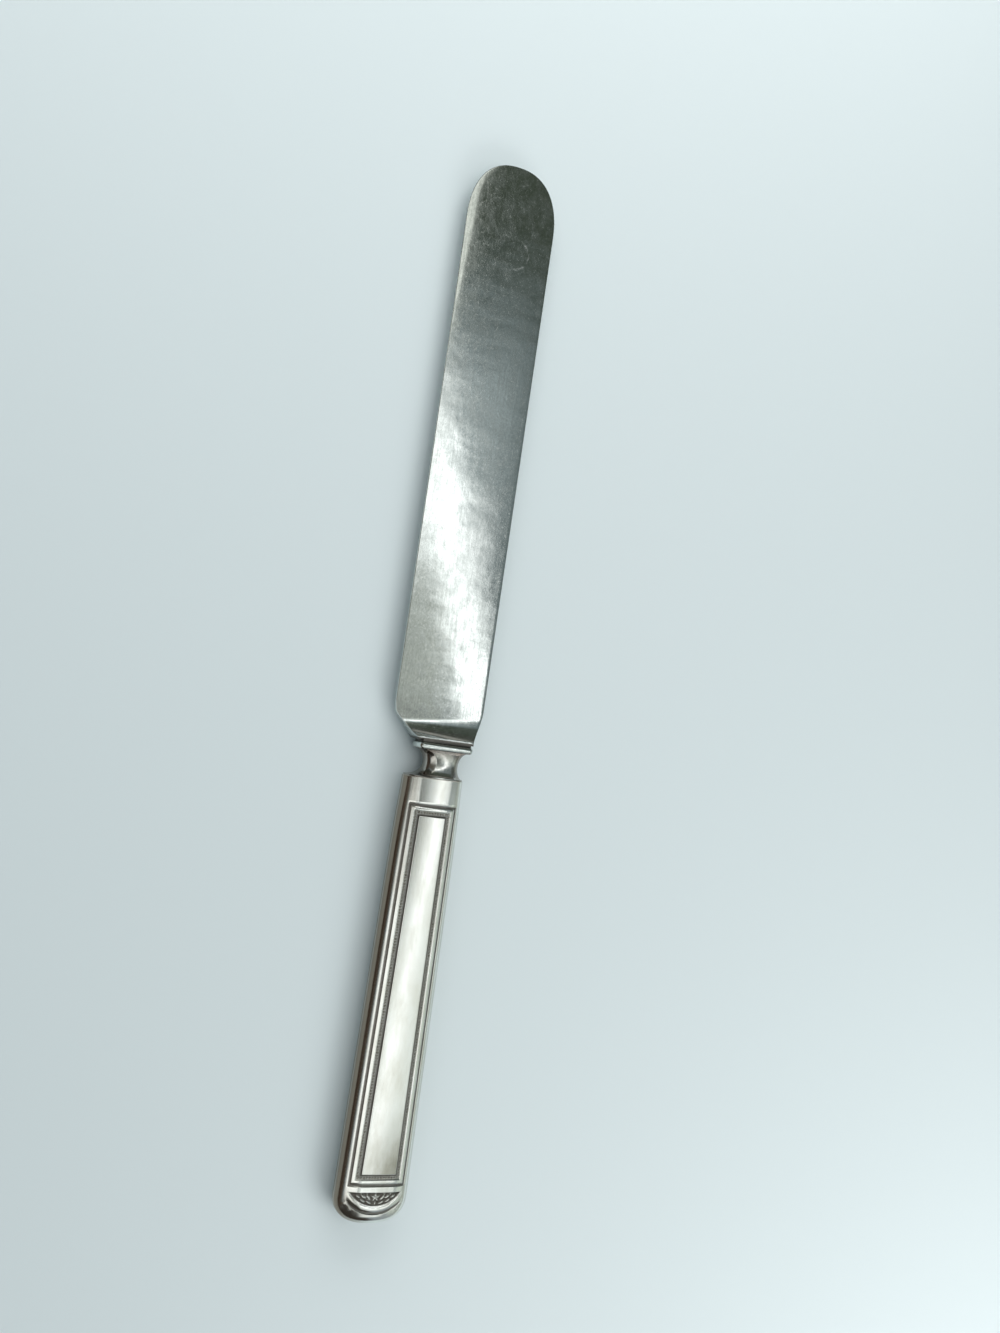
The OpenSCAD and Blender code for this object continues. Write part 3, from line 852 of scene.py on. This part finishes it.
def shell_surface(inset, rows, relief):
    """Points of one half of the handle, rows from the mouth and columns from edge side to spine side."""
    panel = np.linspace(0, 1, 41)[:-1]
    margin = np.linspace(-PANEL_LIP, FRAME_REACH, 46)
    round_share = np.sin(np.linspace(0, math.pi / 2, 24)[1:])
    points = []
    recess = []
    seam = []
    dusk = []
    for s in rows:
        a = half_width(s, inset)
        c = half_depth(s, inset)
        reach = panel_half(s) + FRAME_REACH
        face = np.concatenate([panel * (panel_half(s) - PANEL_LIP), panel_half(s) + margin])
        face = face * min(1, FACE_SHARE * a / reach)
        x = np.concatenate([face, face[-1] + (a - face[-1]) * round_share])
        z = oval_height(x, s, inset)
        near = np.clip(z / max(c, 1e-6), 0, 1) ** 2 * np.clip(c / 2.0, 0, 1)
        depth = np.zeros(len(x))
        stain = np.zeros(len(x))
        if relief:
            depth, stain = face_relief(x, np.full(len(x), s))
        z = np.maximum(z - (depth + crown_drop(x, s)) * near, HALF_SOLDER)
        row = np.stack([x, np.full(len(x), -s), z], 1)
        points.append(np.concatenate([row[::-1] * np.array([-1, 1, 1]), row[1:]]))
        recess.append(np.concatenate([stain[::-1], stain[1:]]))
        dusk.append(np.concatenate([panel_dusk(-x, s)[::-1], panel_dusk(x, s)[1:]]))
        # Painted shade: the lower flanks darken by their height over the seam, the edge side's flank more so
        # towards the butt, the spine side's less.
        low = z / max(c, 1e-6)
        flank_painted_shade = np.interp(low, SEAM_SHADE_PLACES, SEAM_SHADE_LEVELS)
        butt_painted_shade = np.clip((s - BUTT_SHADE_FROM) / BUTT_SHADE_LEN, 0, 1) * np.clip(x / a, 0, 1) * BUTT_SHADE_LEVEL
        seam.append(np.concatenate([np.maximum(flank_painted_shade, butt_painted_shade)[::-1], SPINE_SEAM_SHADE_SHARE * flank_painted_shade[1:]]))
    return np.array(points), np.array(recess), np.array(seam), np.array(dusk)


def shell(name, side):
    """A closed half shell: struck outside, plain inside, and flat rims at the seam and the mouth."""
    rows = shell_rows()
    outer, recess, seam, dusk = shell_surface(0.0, rows, True)
    keep_rows = sorted(set(list(range(0, len(rows), 5)) + [len(rows) - 1]))
    columns = outer.shape[1]
    keep_columns = sorted(set(list(range(0, columns, 4)) + [columns - 1]))
    inner_rows = rows[keep_rows] * (HANDLE_LEN - WALL) / HANDLE_LEN
    inner = shell_surface(WALL, inner_rows, False)[0][:, keep_columns]
    outer_count = outer.shape[0] * columns
    wide = len(keep_columns)
    faces = grid_faces(len(rows), columns, 0, True) + grid_faces(len(keep_rows), wide, outer_count)
    for k in range(len(keep_rows) - 1):
        span = range(keep_rows[k], keep_rows[k + 1] + 1)
        for outside, inside in ((0, 0), (columns - 1, wide - 1)):
            rim = [r * columns + outside for r in span]
            rim += [outer_count + (k + 1) * wide + inside, outer_count + k * wide + inside]
            faces.append(tuple(rim))
    for k in range(wide - 1):
        rim = list(range(keep_columns[k], keep_columns[k + 1] + 1))
        rim += [outer_count + k + 1, outer_count + k]
        faces.append(tuple(rim))
    first = (len(rows) - 1) * columns
    first_inner = outer_count + (len(keep_rows) - 1) * wide
    faces.append(tuple(range(first, first + columns)))
    faces.append(tuple(range(first_inner, first_inner + wide)))
    faces.append((first, first + columns - 1, first_inner + wide - 1, first_inner))
    points = np.concatenate([outer.reshape(-1, 3), inner.reshape(-1, 3)]) * np.array([1, 1, side])
    piece = new_piece(name, lay(points), faces)
    # The seam mark carries the painted shade of the lower flanks.
    for mark, values in (("recess", recess), ("seam", seam), ("dusk", dusk)):
        layer = piece.data.attributes.new(mark, "FLOAT", "POINT")
        values = np.concatenate([values.reshape(-1), np.zeros(inner.size // 3)])
        layer.data.foreach_set("value", np.clip(values, 0, 1).astype(np.float32))
    close_up(piece, 1e-6)
    return piece


SHELL_SILVER = (0.865, 0.89, 0.86)
SHELL_DULL = (0.77, 0.78, 0.72)
# SEAM_PAINTED_SHADE is the colour of the painted shade on the lower flanks.
SEAM_PAINTED_SHADE = (0.27, 0.23, 0.185)
PANEL_DUSK = (0.14, 0.125, 0.07)


def struck_plate():
    """Bright silver plate, rubbed on the high places and dark with tarnish in the struck lines."""
    material, tree, shader = new_metal("struck silver plate")
    blotches = stretched_noise(tree, (1.0, 0.35, 1.0), 300, 5, 0.6)
    waves = stretched_noise(tree, (1.0, 0.3, 1.0), 120, 1)
    lines = stretched_noise(tree, (1.0, 0.04, 1.0), 3000, 2)
    pits = stretched_noise(tree, (1.0, 1.0, 1.0), 3000, 1)
    recess = add_node(tree, "ShaderNodeAttribute", attribute_name="recess")
    worn = joined(tree, recess.outputs["Fac"], scaled(tree, pits, -0.09, 0.09))
    dark = shares(tree, worn, ((0.25, 0.0), (0.95, 1.0)))
    dull = shares(tree, blotches, ((0.38, 0.0), (0.7, 1.0)))
    seam = add_node(tree, "ShaderNodeAttribute", attribute_name="seam")
    dusk = add_node(tree, "ShaderNodeAttribute", attribute_name="dusk")
    dusk = joined(tree, dusk.outputs["Fac"], scaled(tree, blotches, 0.5, 1.5), "MULTIPLY")
    colour = mixed(tree, dull, SHELL_SILVER, SHELL_DULL)
    colour = mixed(tree, dusk, colour, PANEL_DUSK)
    # Painted shade on the lower flanks, from the seam mark.
    colour = mixed(tree, seam.outputs["Fac"], colour, SEAM_PAINTED_SHADE)
    colour = mixed(tree, dark, colour, TARNISH)
    tree.links.new(colour, shader.inputs["Base Color"])
    rough = joined(tree, scaled(tree, blotches, 0.1, 0.26), weighed(tree, ((dark, 0.2), (lines, 0.04))))
    tree.links.new(rough, shader.inputs["Roughness"])
    raised(tree, shader, weighed(tree, ((waves, 0.25), (lines, 0.006), (pits, 0.01))))
    return material


silver = struck_plate()
for shell_name, shell_node, shell_side in (("front_shell", "handle_front_shell", 1),
                                           ("back_shell", "handle_back_shell", -1)):
    half = shell(shell_name, shell_side)
    half.data.materials.append(silver)
    half.data.shade_smooth()
    half.data.set_sharp_from_angle(angle=math.radians(SHELL_SHARP_ANGLE))
    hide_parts(shell_node)
    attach(half, "root")

# Bead rows
# The fine beads round each panel, struck in the sheet with the rest of the face.
BEAD_PITCH = 0.00066
BEAD_RADIUS = 0.000285
BEAD_FLATNESS = 0.95
BEAD_BED = 0.045
BEAD_SEGMENTS = 10
BEAD_RINGS = 6
BEAD_BRIGHT = (0.78, 0.79, 0.75)
BEAD_WORN = (0.44, 0.42, 0.36)


def bead_nodes(material):
    """Beads at an even pitch along the lines of the object's mesh."""
    tree = bpy.data.node_groups.new("bead row", "GeometryNodeTree")
    face = tree.interface
    face.new_socket("Row", in_out="INPUT", socket_type="NodeSocketGeometry")
    sizes = (("Pitch", BEAD_PITCH), ("Radius", BEAD_RADIUS), ("Flatness", BEAD_FLATNESS))
    for name, value in sizes:
        socket = face.new_socket(name, in_out="INPUT", socket_type="NodeSocketFloat")
        socket.default_value = value
    face.new_socket("Beads", in_out="OUTPUT", socket_type="NodeSocketGeometry")
    entry = add_node(tree, "NodeGroupInput")
    leave = add_node(tree, "NodeGroupOutput")
    curve = add_node(tree, "GeometryNodeMeshToCurve")
    points = add_node(tree, "GeometryNodeCurveToPoints", mode="LENGTH")
    bead = add_node(tree, "GeometryNodeMeshUVSphere")
    bead.inputs["Segments"].default_value = BEAD_SEGMENTS
    bead.inputs["Rings"].default_value = BEAD_RINGS
    smooth = add_node(tree, "GeometryNodeSetShadeSmooth")
    squash = add_node(tree, "ShaderNodeCombineXYZ")
    for axis in "XY":
        squash.inputs[axis].default_value = 1.0
    place = add_node(tree, "GeometryNodeInstanceOnPoints")
    real = add_node(tree, "GeometryNodeRealizeInstances")
    paint = add_node(tree, "GeometryNodeSetMaterial")
    paint.inputs["Material"].default_value = material
    wires = ((entry, "Row", curve, "Mesh"), (curve, "Curve", points, "Curve"),
             (entry, "Pitch", points, "Length"), (entry, "Radius", bead, "Radius"),
             (bead, "Mesh", smooth, "Geometry"), (entry, "Flatness", squash, "Z"),
             (points, "Points", place, "Points"), (smooth, "Geometry", place, "Instance"),
             (squash, "Vector", place, "Scale"), (place, "Instances", real, "Geometry"),
             (real, "Geometry", paint, "Geometry"), (paint, "Geometry", leave, "Beads"))
    for start, output, end, entrance in wires:
        tree.links.new(start.outputs[output], end.inputs[entrance])
    return tree


def bead_row(name, side, tree):
    """Beads round the panel of one face, at the height of the struck strip that they stand on."""
    margin = GROOVE_W + BEAD_W / 2
    top = PANEL_FROM_MOUTH - margin
    bottom = PANEL_END + margin
    long_side = [(panel_half(s) + margin, s) for s in np.linspace(top, bottom, 40)]
    places = list(long_side)
    for share in np.linspace(1, -1, 26)[1:-1]:
        places.append(((panel_half(bottom) + margin) * share, bottom))
    places += [(-x, s) for x, s in long_side[::-1]]
    for share in np.linspace(-1, 1, 22)[1:-1]:
        places.append(((panel_half(top) + margin) * share, top))
    points = []
    for x, s in places:
        height = oval_height(np.array([abs(x)]), s, 0.0)[0] - crown_drop(x, s)
        points.append((x, -s, side * (height - BEAD_SINK - BEAD_BED)))
    edges = [(i, (i + 1) % len(points)) for i in range(len(points))]
    mesh = bpy.data.meshes.new(name)
    mesh.from_pydata(lay(np.array(points)).tolist(), edges, [])
    row = bpy.data.objects.new(name, mesh)
    bpy.context.scene.collection.objects.link(row)
    beads = row.modifiers.new("beads", "NODES")
    beads.node_group = tree
    row.data = bpy.data.meshes.new_from_object(row.evaluated_get(bpy.context.evaluated_depsgraph_get()))
    row.modifiers.clear()
    return row


def bead_silver():
    material, tree, shader = new_metal("bead silver")
    rub = stretched_noise(tree, (1.0, 1.0, 1.0), 1800, 3)
    worn = shares(tree, rub, ((0.36, 0.0), (0.66, 1.0)))
    tree.links.new(mixed(tree, worn, BEAD_BRIGHT, BEAD_WORN), shader.inputs["Base Color"])
    tree.links.new(scaled(tree, rub, 0.1, 0.25), shader.inputs["Roughness"])
    return material


bead_tree = bead_nodes(bead_silver())
for row_name, row_side in (("front_bead_row", 1), ("back_bead_row", -1)):
    beads = bead_row(row_name, row_side, bead_tree)
    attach(beads, "root")

# Solder joints
# Thin films of silver solder: one along the seam of the shells and one between the bolster and the mouth.
SOLDER_LIGHT = (0.62, 0.6, 0.54)
SOLDER_DARK = (0.42, 0.4, 0.35)


def mottled(name, metallic, noise_form, colours, rough):
    """A skin whose colour and roughness both follow one noise."""
    material, tree, shader = new_metal(name)
    shader.inputs["Metallic"].default_value = metallic
    noise = stretched_noise(tree, *noise_form)
    tree.links.new(mixed(tree, noise, *colours), shader.inputs["Base Color"])
    tree.links.new(scaled(tree, noise, *rough), shader.inputs["Roughness"])
    return material


flow = ((1.0, 0.3, 1.0), 900, 4)
solder = mottled("silver solder", 1.0, flow, (SOLDER_LIGHT, SOLDER_DARK), (0.25, 0.45))
for joint_name in ("seam_solder", "neck_solder"):
    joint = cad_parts[joint_name]
    joint.data.materials.clear()
    joint.data.materials.append(solder)

# Cement
# Resin and sand, poured hot into the handle round the tang. It is hidden once the knife is whole.
RESIN_BROWN = (0.2, 0.11, 0.06)
SAND_BROWN = (0.42, 0.29, 0.18)

grit = ((1.0, 1.0, 1.0), 1500, 5)
resin = mottled("resin cement", 0.0, grit, (RESIN_BROWN, SAND_BROWN), (0.6, 0.9))
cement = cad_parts["handle_cement"]
cement.data.materials.clear()
cement.data.materials.append(resin)

# Table and light
# A pale bluish sheet under the knife and a soft light from the right. Over and round them stand soft-edged
# cards and glowing panels that the metal alone sees, as in a small light tent.
SHEET_COLOUR = (0.78, 0.86, 0.865)
SHEET_SIZE = 4.0
SHEET_DROP = 0.00005
SKY = (0.28, 0.31, 0.325)
TENT_TOP = 0.655
WHITE = (1.0, 1.0, 1.0)


def stage_plate(name, centre, size, turn):
    mesh = bpy.data.meshes.new(name)
    w = size[0] / 2
    h = size[1] / 2
    mesh.from_pydata([(-w, -h, 0), (w, -h, 0), (w, h, 0), (-w, h, 0)], [], [(0, 1, 2, 3)])
    plate = bpy.data.objects.new(name, mesh)
    plate.location = centre
    plate.rotation_euler = [math.radians(t) for t in turn]
    bpy.context.scene.collection.objects.link(plate)
    material = bpy.data.materials.new(name)
    material.use_nodes = True
    mesh.materials.append(material)
    return plate, material.node_tree


def soft_card(name, centre, size, turn, colour, level, soft):
    """A card with a soft edge, of an even brightness, that only reflections see."""
    plate, tree = stage_plate(name, centre, size, turn)
    plate.visible_camera = False
    plate.visible_diffuse = False
    plate.visible_shadow = False
    tree.nodes.clear()
    masks = []
    for axis, width in (("X", size[0]), ("Y", size[1])):
        away = add_node(tree, "ShaderNodeMath", operation="ABSOLUTE")
        fade = add_node(tree, "ShaderNodeMapRange", interpolation_type="SMOOTHSTEP")
        fade.inputs["From Min"].default_value = width / 2
        fade.inputs["From Max"].default_value = width / 2 - soft
        tree.links.new(place_part(tree, axis), away.inputs[0])
        tree.links.new(away.outputs[0], fade.inputs["Value"])
        masks.append(fade.outputs["Result"])
    glow = add_node(tree, "ShaderNodeEmission")
    glow.inputs["Color"].default_value = (*colour, 1.0)
    glow.inputs["Strength"].default_value = level
    clear = add_node(tree, "ShaderNodeBsdfTransparent")
    mix = add_node(tree, "ShaderNodeMixShader")
    leave = add_node(tree, "ShaderNodeOutputMaterial")
    tree.links.new(joined(tree, masks[0], masks[1], "MULTIPLY"), mix.inputs["Fac"])
    tree.links.new(clear.outputs[0], mix.inputs[1])
    tree.links.new(glow.outputs[0], mix.inputs[2])
    tree.links.new(mix.outputs[0], leave.inputs["Surface"])


def overhead(name, x, y, size, spin, colour, level, soft, lower=0.0):
    """A soft card that lies level over the knife."""
    soft_card(name, (x, y, TENT_TOP - lower), size, (0, 0, spin), colour, level, soft)


def soft_light(name, centre, size, aim, level, colour):
    """A rectangular light, turned to its aim; level is the brightness of its face."""
    lamp = bpy.data.lights.new(name, "AREA")
    lamp.shape = "RECTANGLE"
    lamp.size = size[0]
    lamp.size_y = size[1]
    lamp.energy = level * math.pi * size[0] * size[1]
    lamp.color = colour
    holder = bpy.data.objects.new(name, lamp)
    holder.location = centre
    away = [c - a for c, a in zip(centre, aim)]
    flat = math.hypot(away[0], away[1])
    holder.rotation_euler = (math.atan2(flat, away[2]), 0.0, math.atan2(away[0], -away[1]))
    holder.visible_camera = False
    holder.visible_glossy = False
    bpy.context.scene.collection.objects.link(holder)


sheet_tree = stage_plate("table_sheet", (0.0, 0.0, -SHEET_DROP), (SHEET_SIZE, SHEET_SIZE), (0, 0, 0))[1]
sheet_shader = sheet_tree.nodes["Principled BSDF"]
sheet_shader.inputs["Base Color"].default_value = (*SHEET_COLOUR, 1.0)
sheet_shader.inputs["Roughness"].default_value = 0.9
sheet_shader.inputs["Specular IOR Level"].default_value = 0.1
soft_light("side_light", (0.35, 0.05, 1.1), (1.1, 1.2), (0.0, 0.0, 0.0), 0.72, (1.0, 0.99, 0.97))
soft_light("far_light", (-0.05, 0.36, 0.22), (0.5, 0.2), (-0.05, 0.2, 0.0), 2.6, WHITE)
soft_light("near_light", (0.25, -0.3, 0.24), (0.3, 0.2), (0.12, -0.16, 0.0), 3.6, WHITE)

# Cards over the blade, from its tip to its heel
overhead("olive_card", 0.27, 0.6, (0.8, 0.68), 0, (0.058, 0.07, 0.053), 1.0, 0.12, 0.002)
overhead("grey_card", 0.3, 0.26, (0.66, 0.7), 0, (0.163, 0.195, 0.2), 1.0, 0.08)
overhead("blue_panel", 0.205, 0.195, (0.25, 0.26), 0, (0.87, 0.98, 1.0), 0.4, 0.1, 0.003)
overhead("blade_strip", 0.226, 0.083, (0.09, 0.335), 39.5, WHITE, 2.3, 0.03, 0.004)
overhead("strip_glow", 0.232, 0.12, (0.1, 0.09), 30, WHITE, 1.25, 0.04, 0.005)
overhead("edge_panel", 0.04, 0.172, (0.25, 0.2), 0, (1.0, 1.0, 0.99), 1.5, 0.05, 0.006)
overhead("bevel_panel", 0.025, 0.45, (0.24, 0.46), 0, (1.0, 1.0, 0.93), 1.05, 0.05, 0.008)
overhead("heel_panel", 0.07, 0.04, (0.36, 0.2), 0, (0.96, 1.0, 0.92), 0.48, 0.05, 0.002)

# Cards over the handle
overhead("handle_panel", 0.28, -0.26, (0.5, 0.46), 0, (0.95, 1.0, 0.95), 0.85, 0.07)
overhead("handle_strip", 0.233, -0.25, (0.1, 0.31), -19, WHITE, 1.7, 0.04, 0.004)
overhead("mouth_strip", 0.31, -0.08, (0.095, 0.15), -24, WHITE, 2.3, 0.04, 0.005)
overhead("mouth_shade", 0.12, -0.085, (0.23, 0.2), 0, (0.11, 0.115, 0.105), 1.0, 0.08, 0.003)
overhead("fillet_panel", -0.31, -0.24, (0.68, 0.46), 0, (1.0, 1.0, 0.97), 1.2, 0.06, 0.006)
overhead("butt_card", -0.32, -0.62, (0.74, 0.5), 0, (0.04, 0.036, 0.03), 1.0, 0.06, 0.002)
overhead("bow_panel", 0.25, -0.63, (0.46, 0.26), 0, (0.97, 1.0, 0.96), 1.0, 0.06)
overhead("dark_card", -0.3, 0.09, (0.7, 0.46), 0, (0.15, 0.14, 0.115), 1.0, 0.16, 0.295)

# Walls on the left, near, far and right sides
soft_card("brown_wall", (-0.62, -0.05, 0.15), (1.5, 0.42), (90, 0, 90), (0.11, 0.085, 0.066), 1.0, 0.06)
soft_card("olive_wall", (-0.63, -0.05, 0.37), (1.5, 0.36), (90, 0, 90), (0.05, 0.046, 0.037), 1.0, 0.05)
soft_card("near_wall", (-0.2, -0.85, 0.3), (1.0, 0.8), (90, 0, 0), (0.05, 0.043, 0.036), 1.0, 0.06)
soft_card("far_wall", (0.1, 0.85, 0.4), (1.8, 1.0), (90, 0, 0), (0.06, 0.064, 0.052), 1.0, 0.1)
soft_card("far_glow", (0.33, 0.83, 0.21), (0.5, 0.26), (90, 0, 0), (1.0, 0.95, 0.87), 0.35, 0.08)
soft_card("spine_wall", (0.75, 0.5, 0.48), (1.2, 0.6), (90, 0, 90), (0.1, 0.11, 0.1), 1.0, 0.1)
soft_card("right_wall", (0.76, -0.45, 0.53), (0.8, 0.5), (90, 0, 90), (0.62, 0.68, 0.62), 1.0, 0.1)
soft_card("low_wall", (0.77, -0.35, 0.14), (1.0, 0.44), (90, 0, 90), (0.37, 0.4, 0.36), 1.0, 0.06)

world = bpy.data.worlds.new("room")
world.use_nodes = True
world.node_tree.nodes["Background"].inputs["Color"].default_value = (*SKY, 1.0)
bpy.context.scene.world = world
bpy.context.scene.view_settings.view_transform = "Standard"
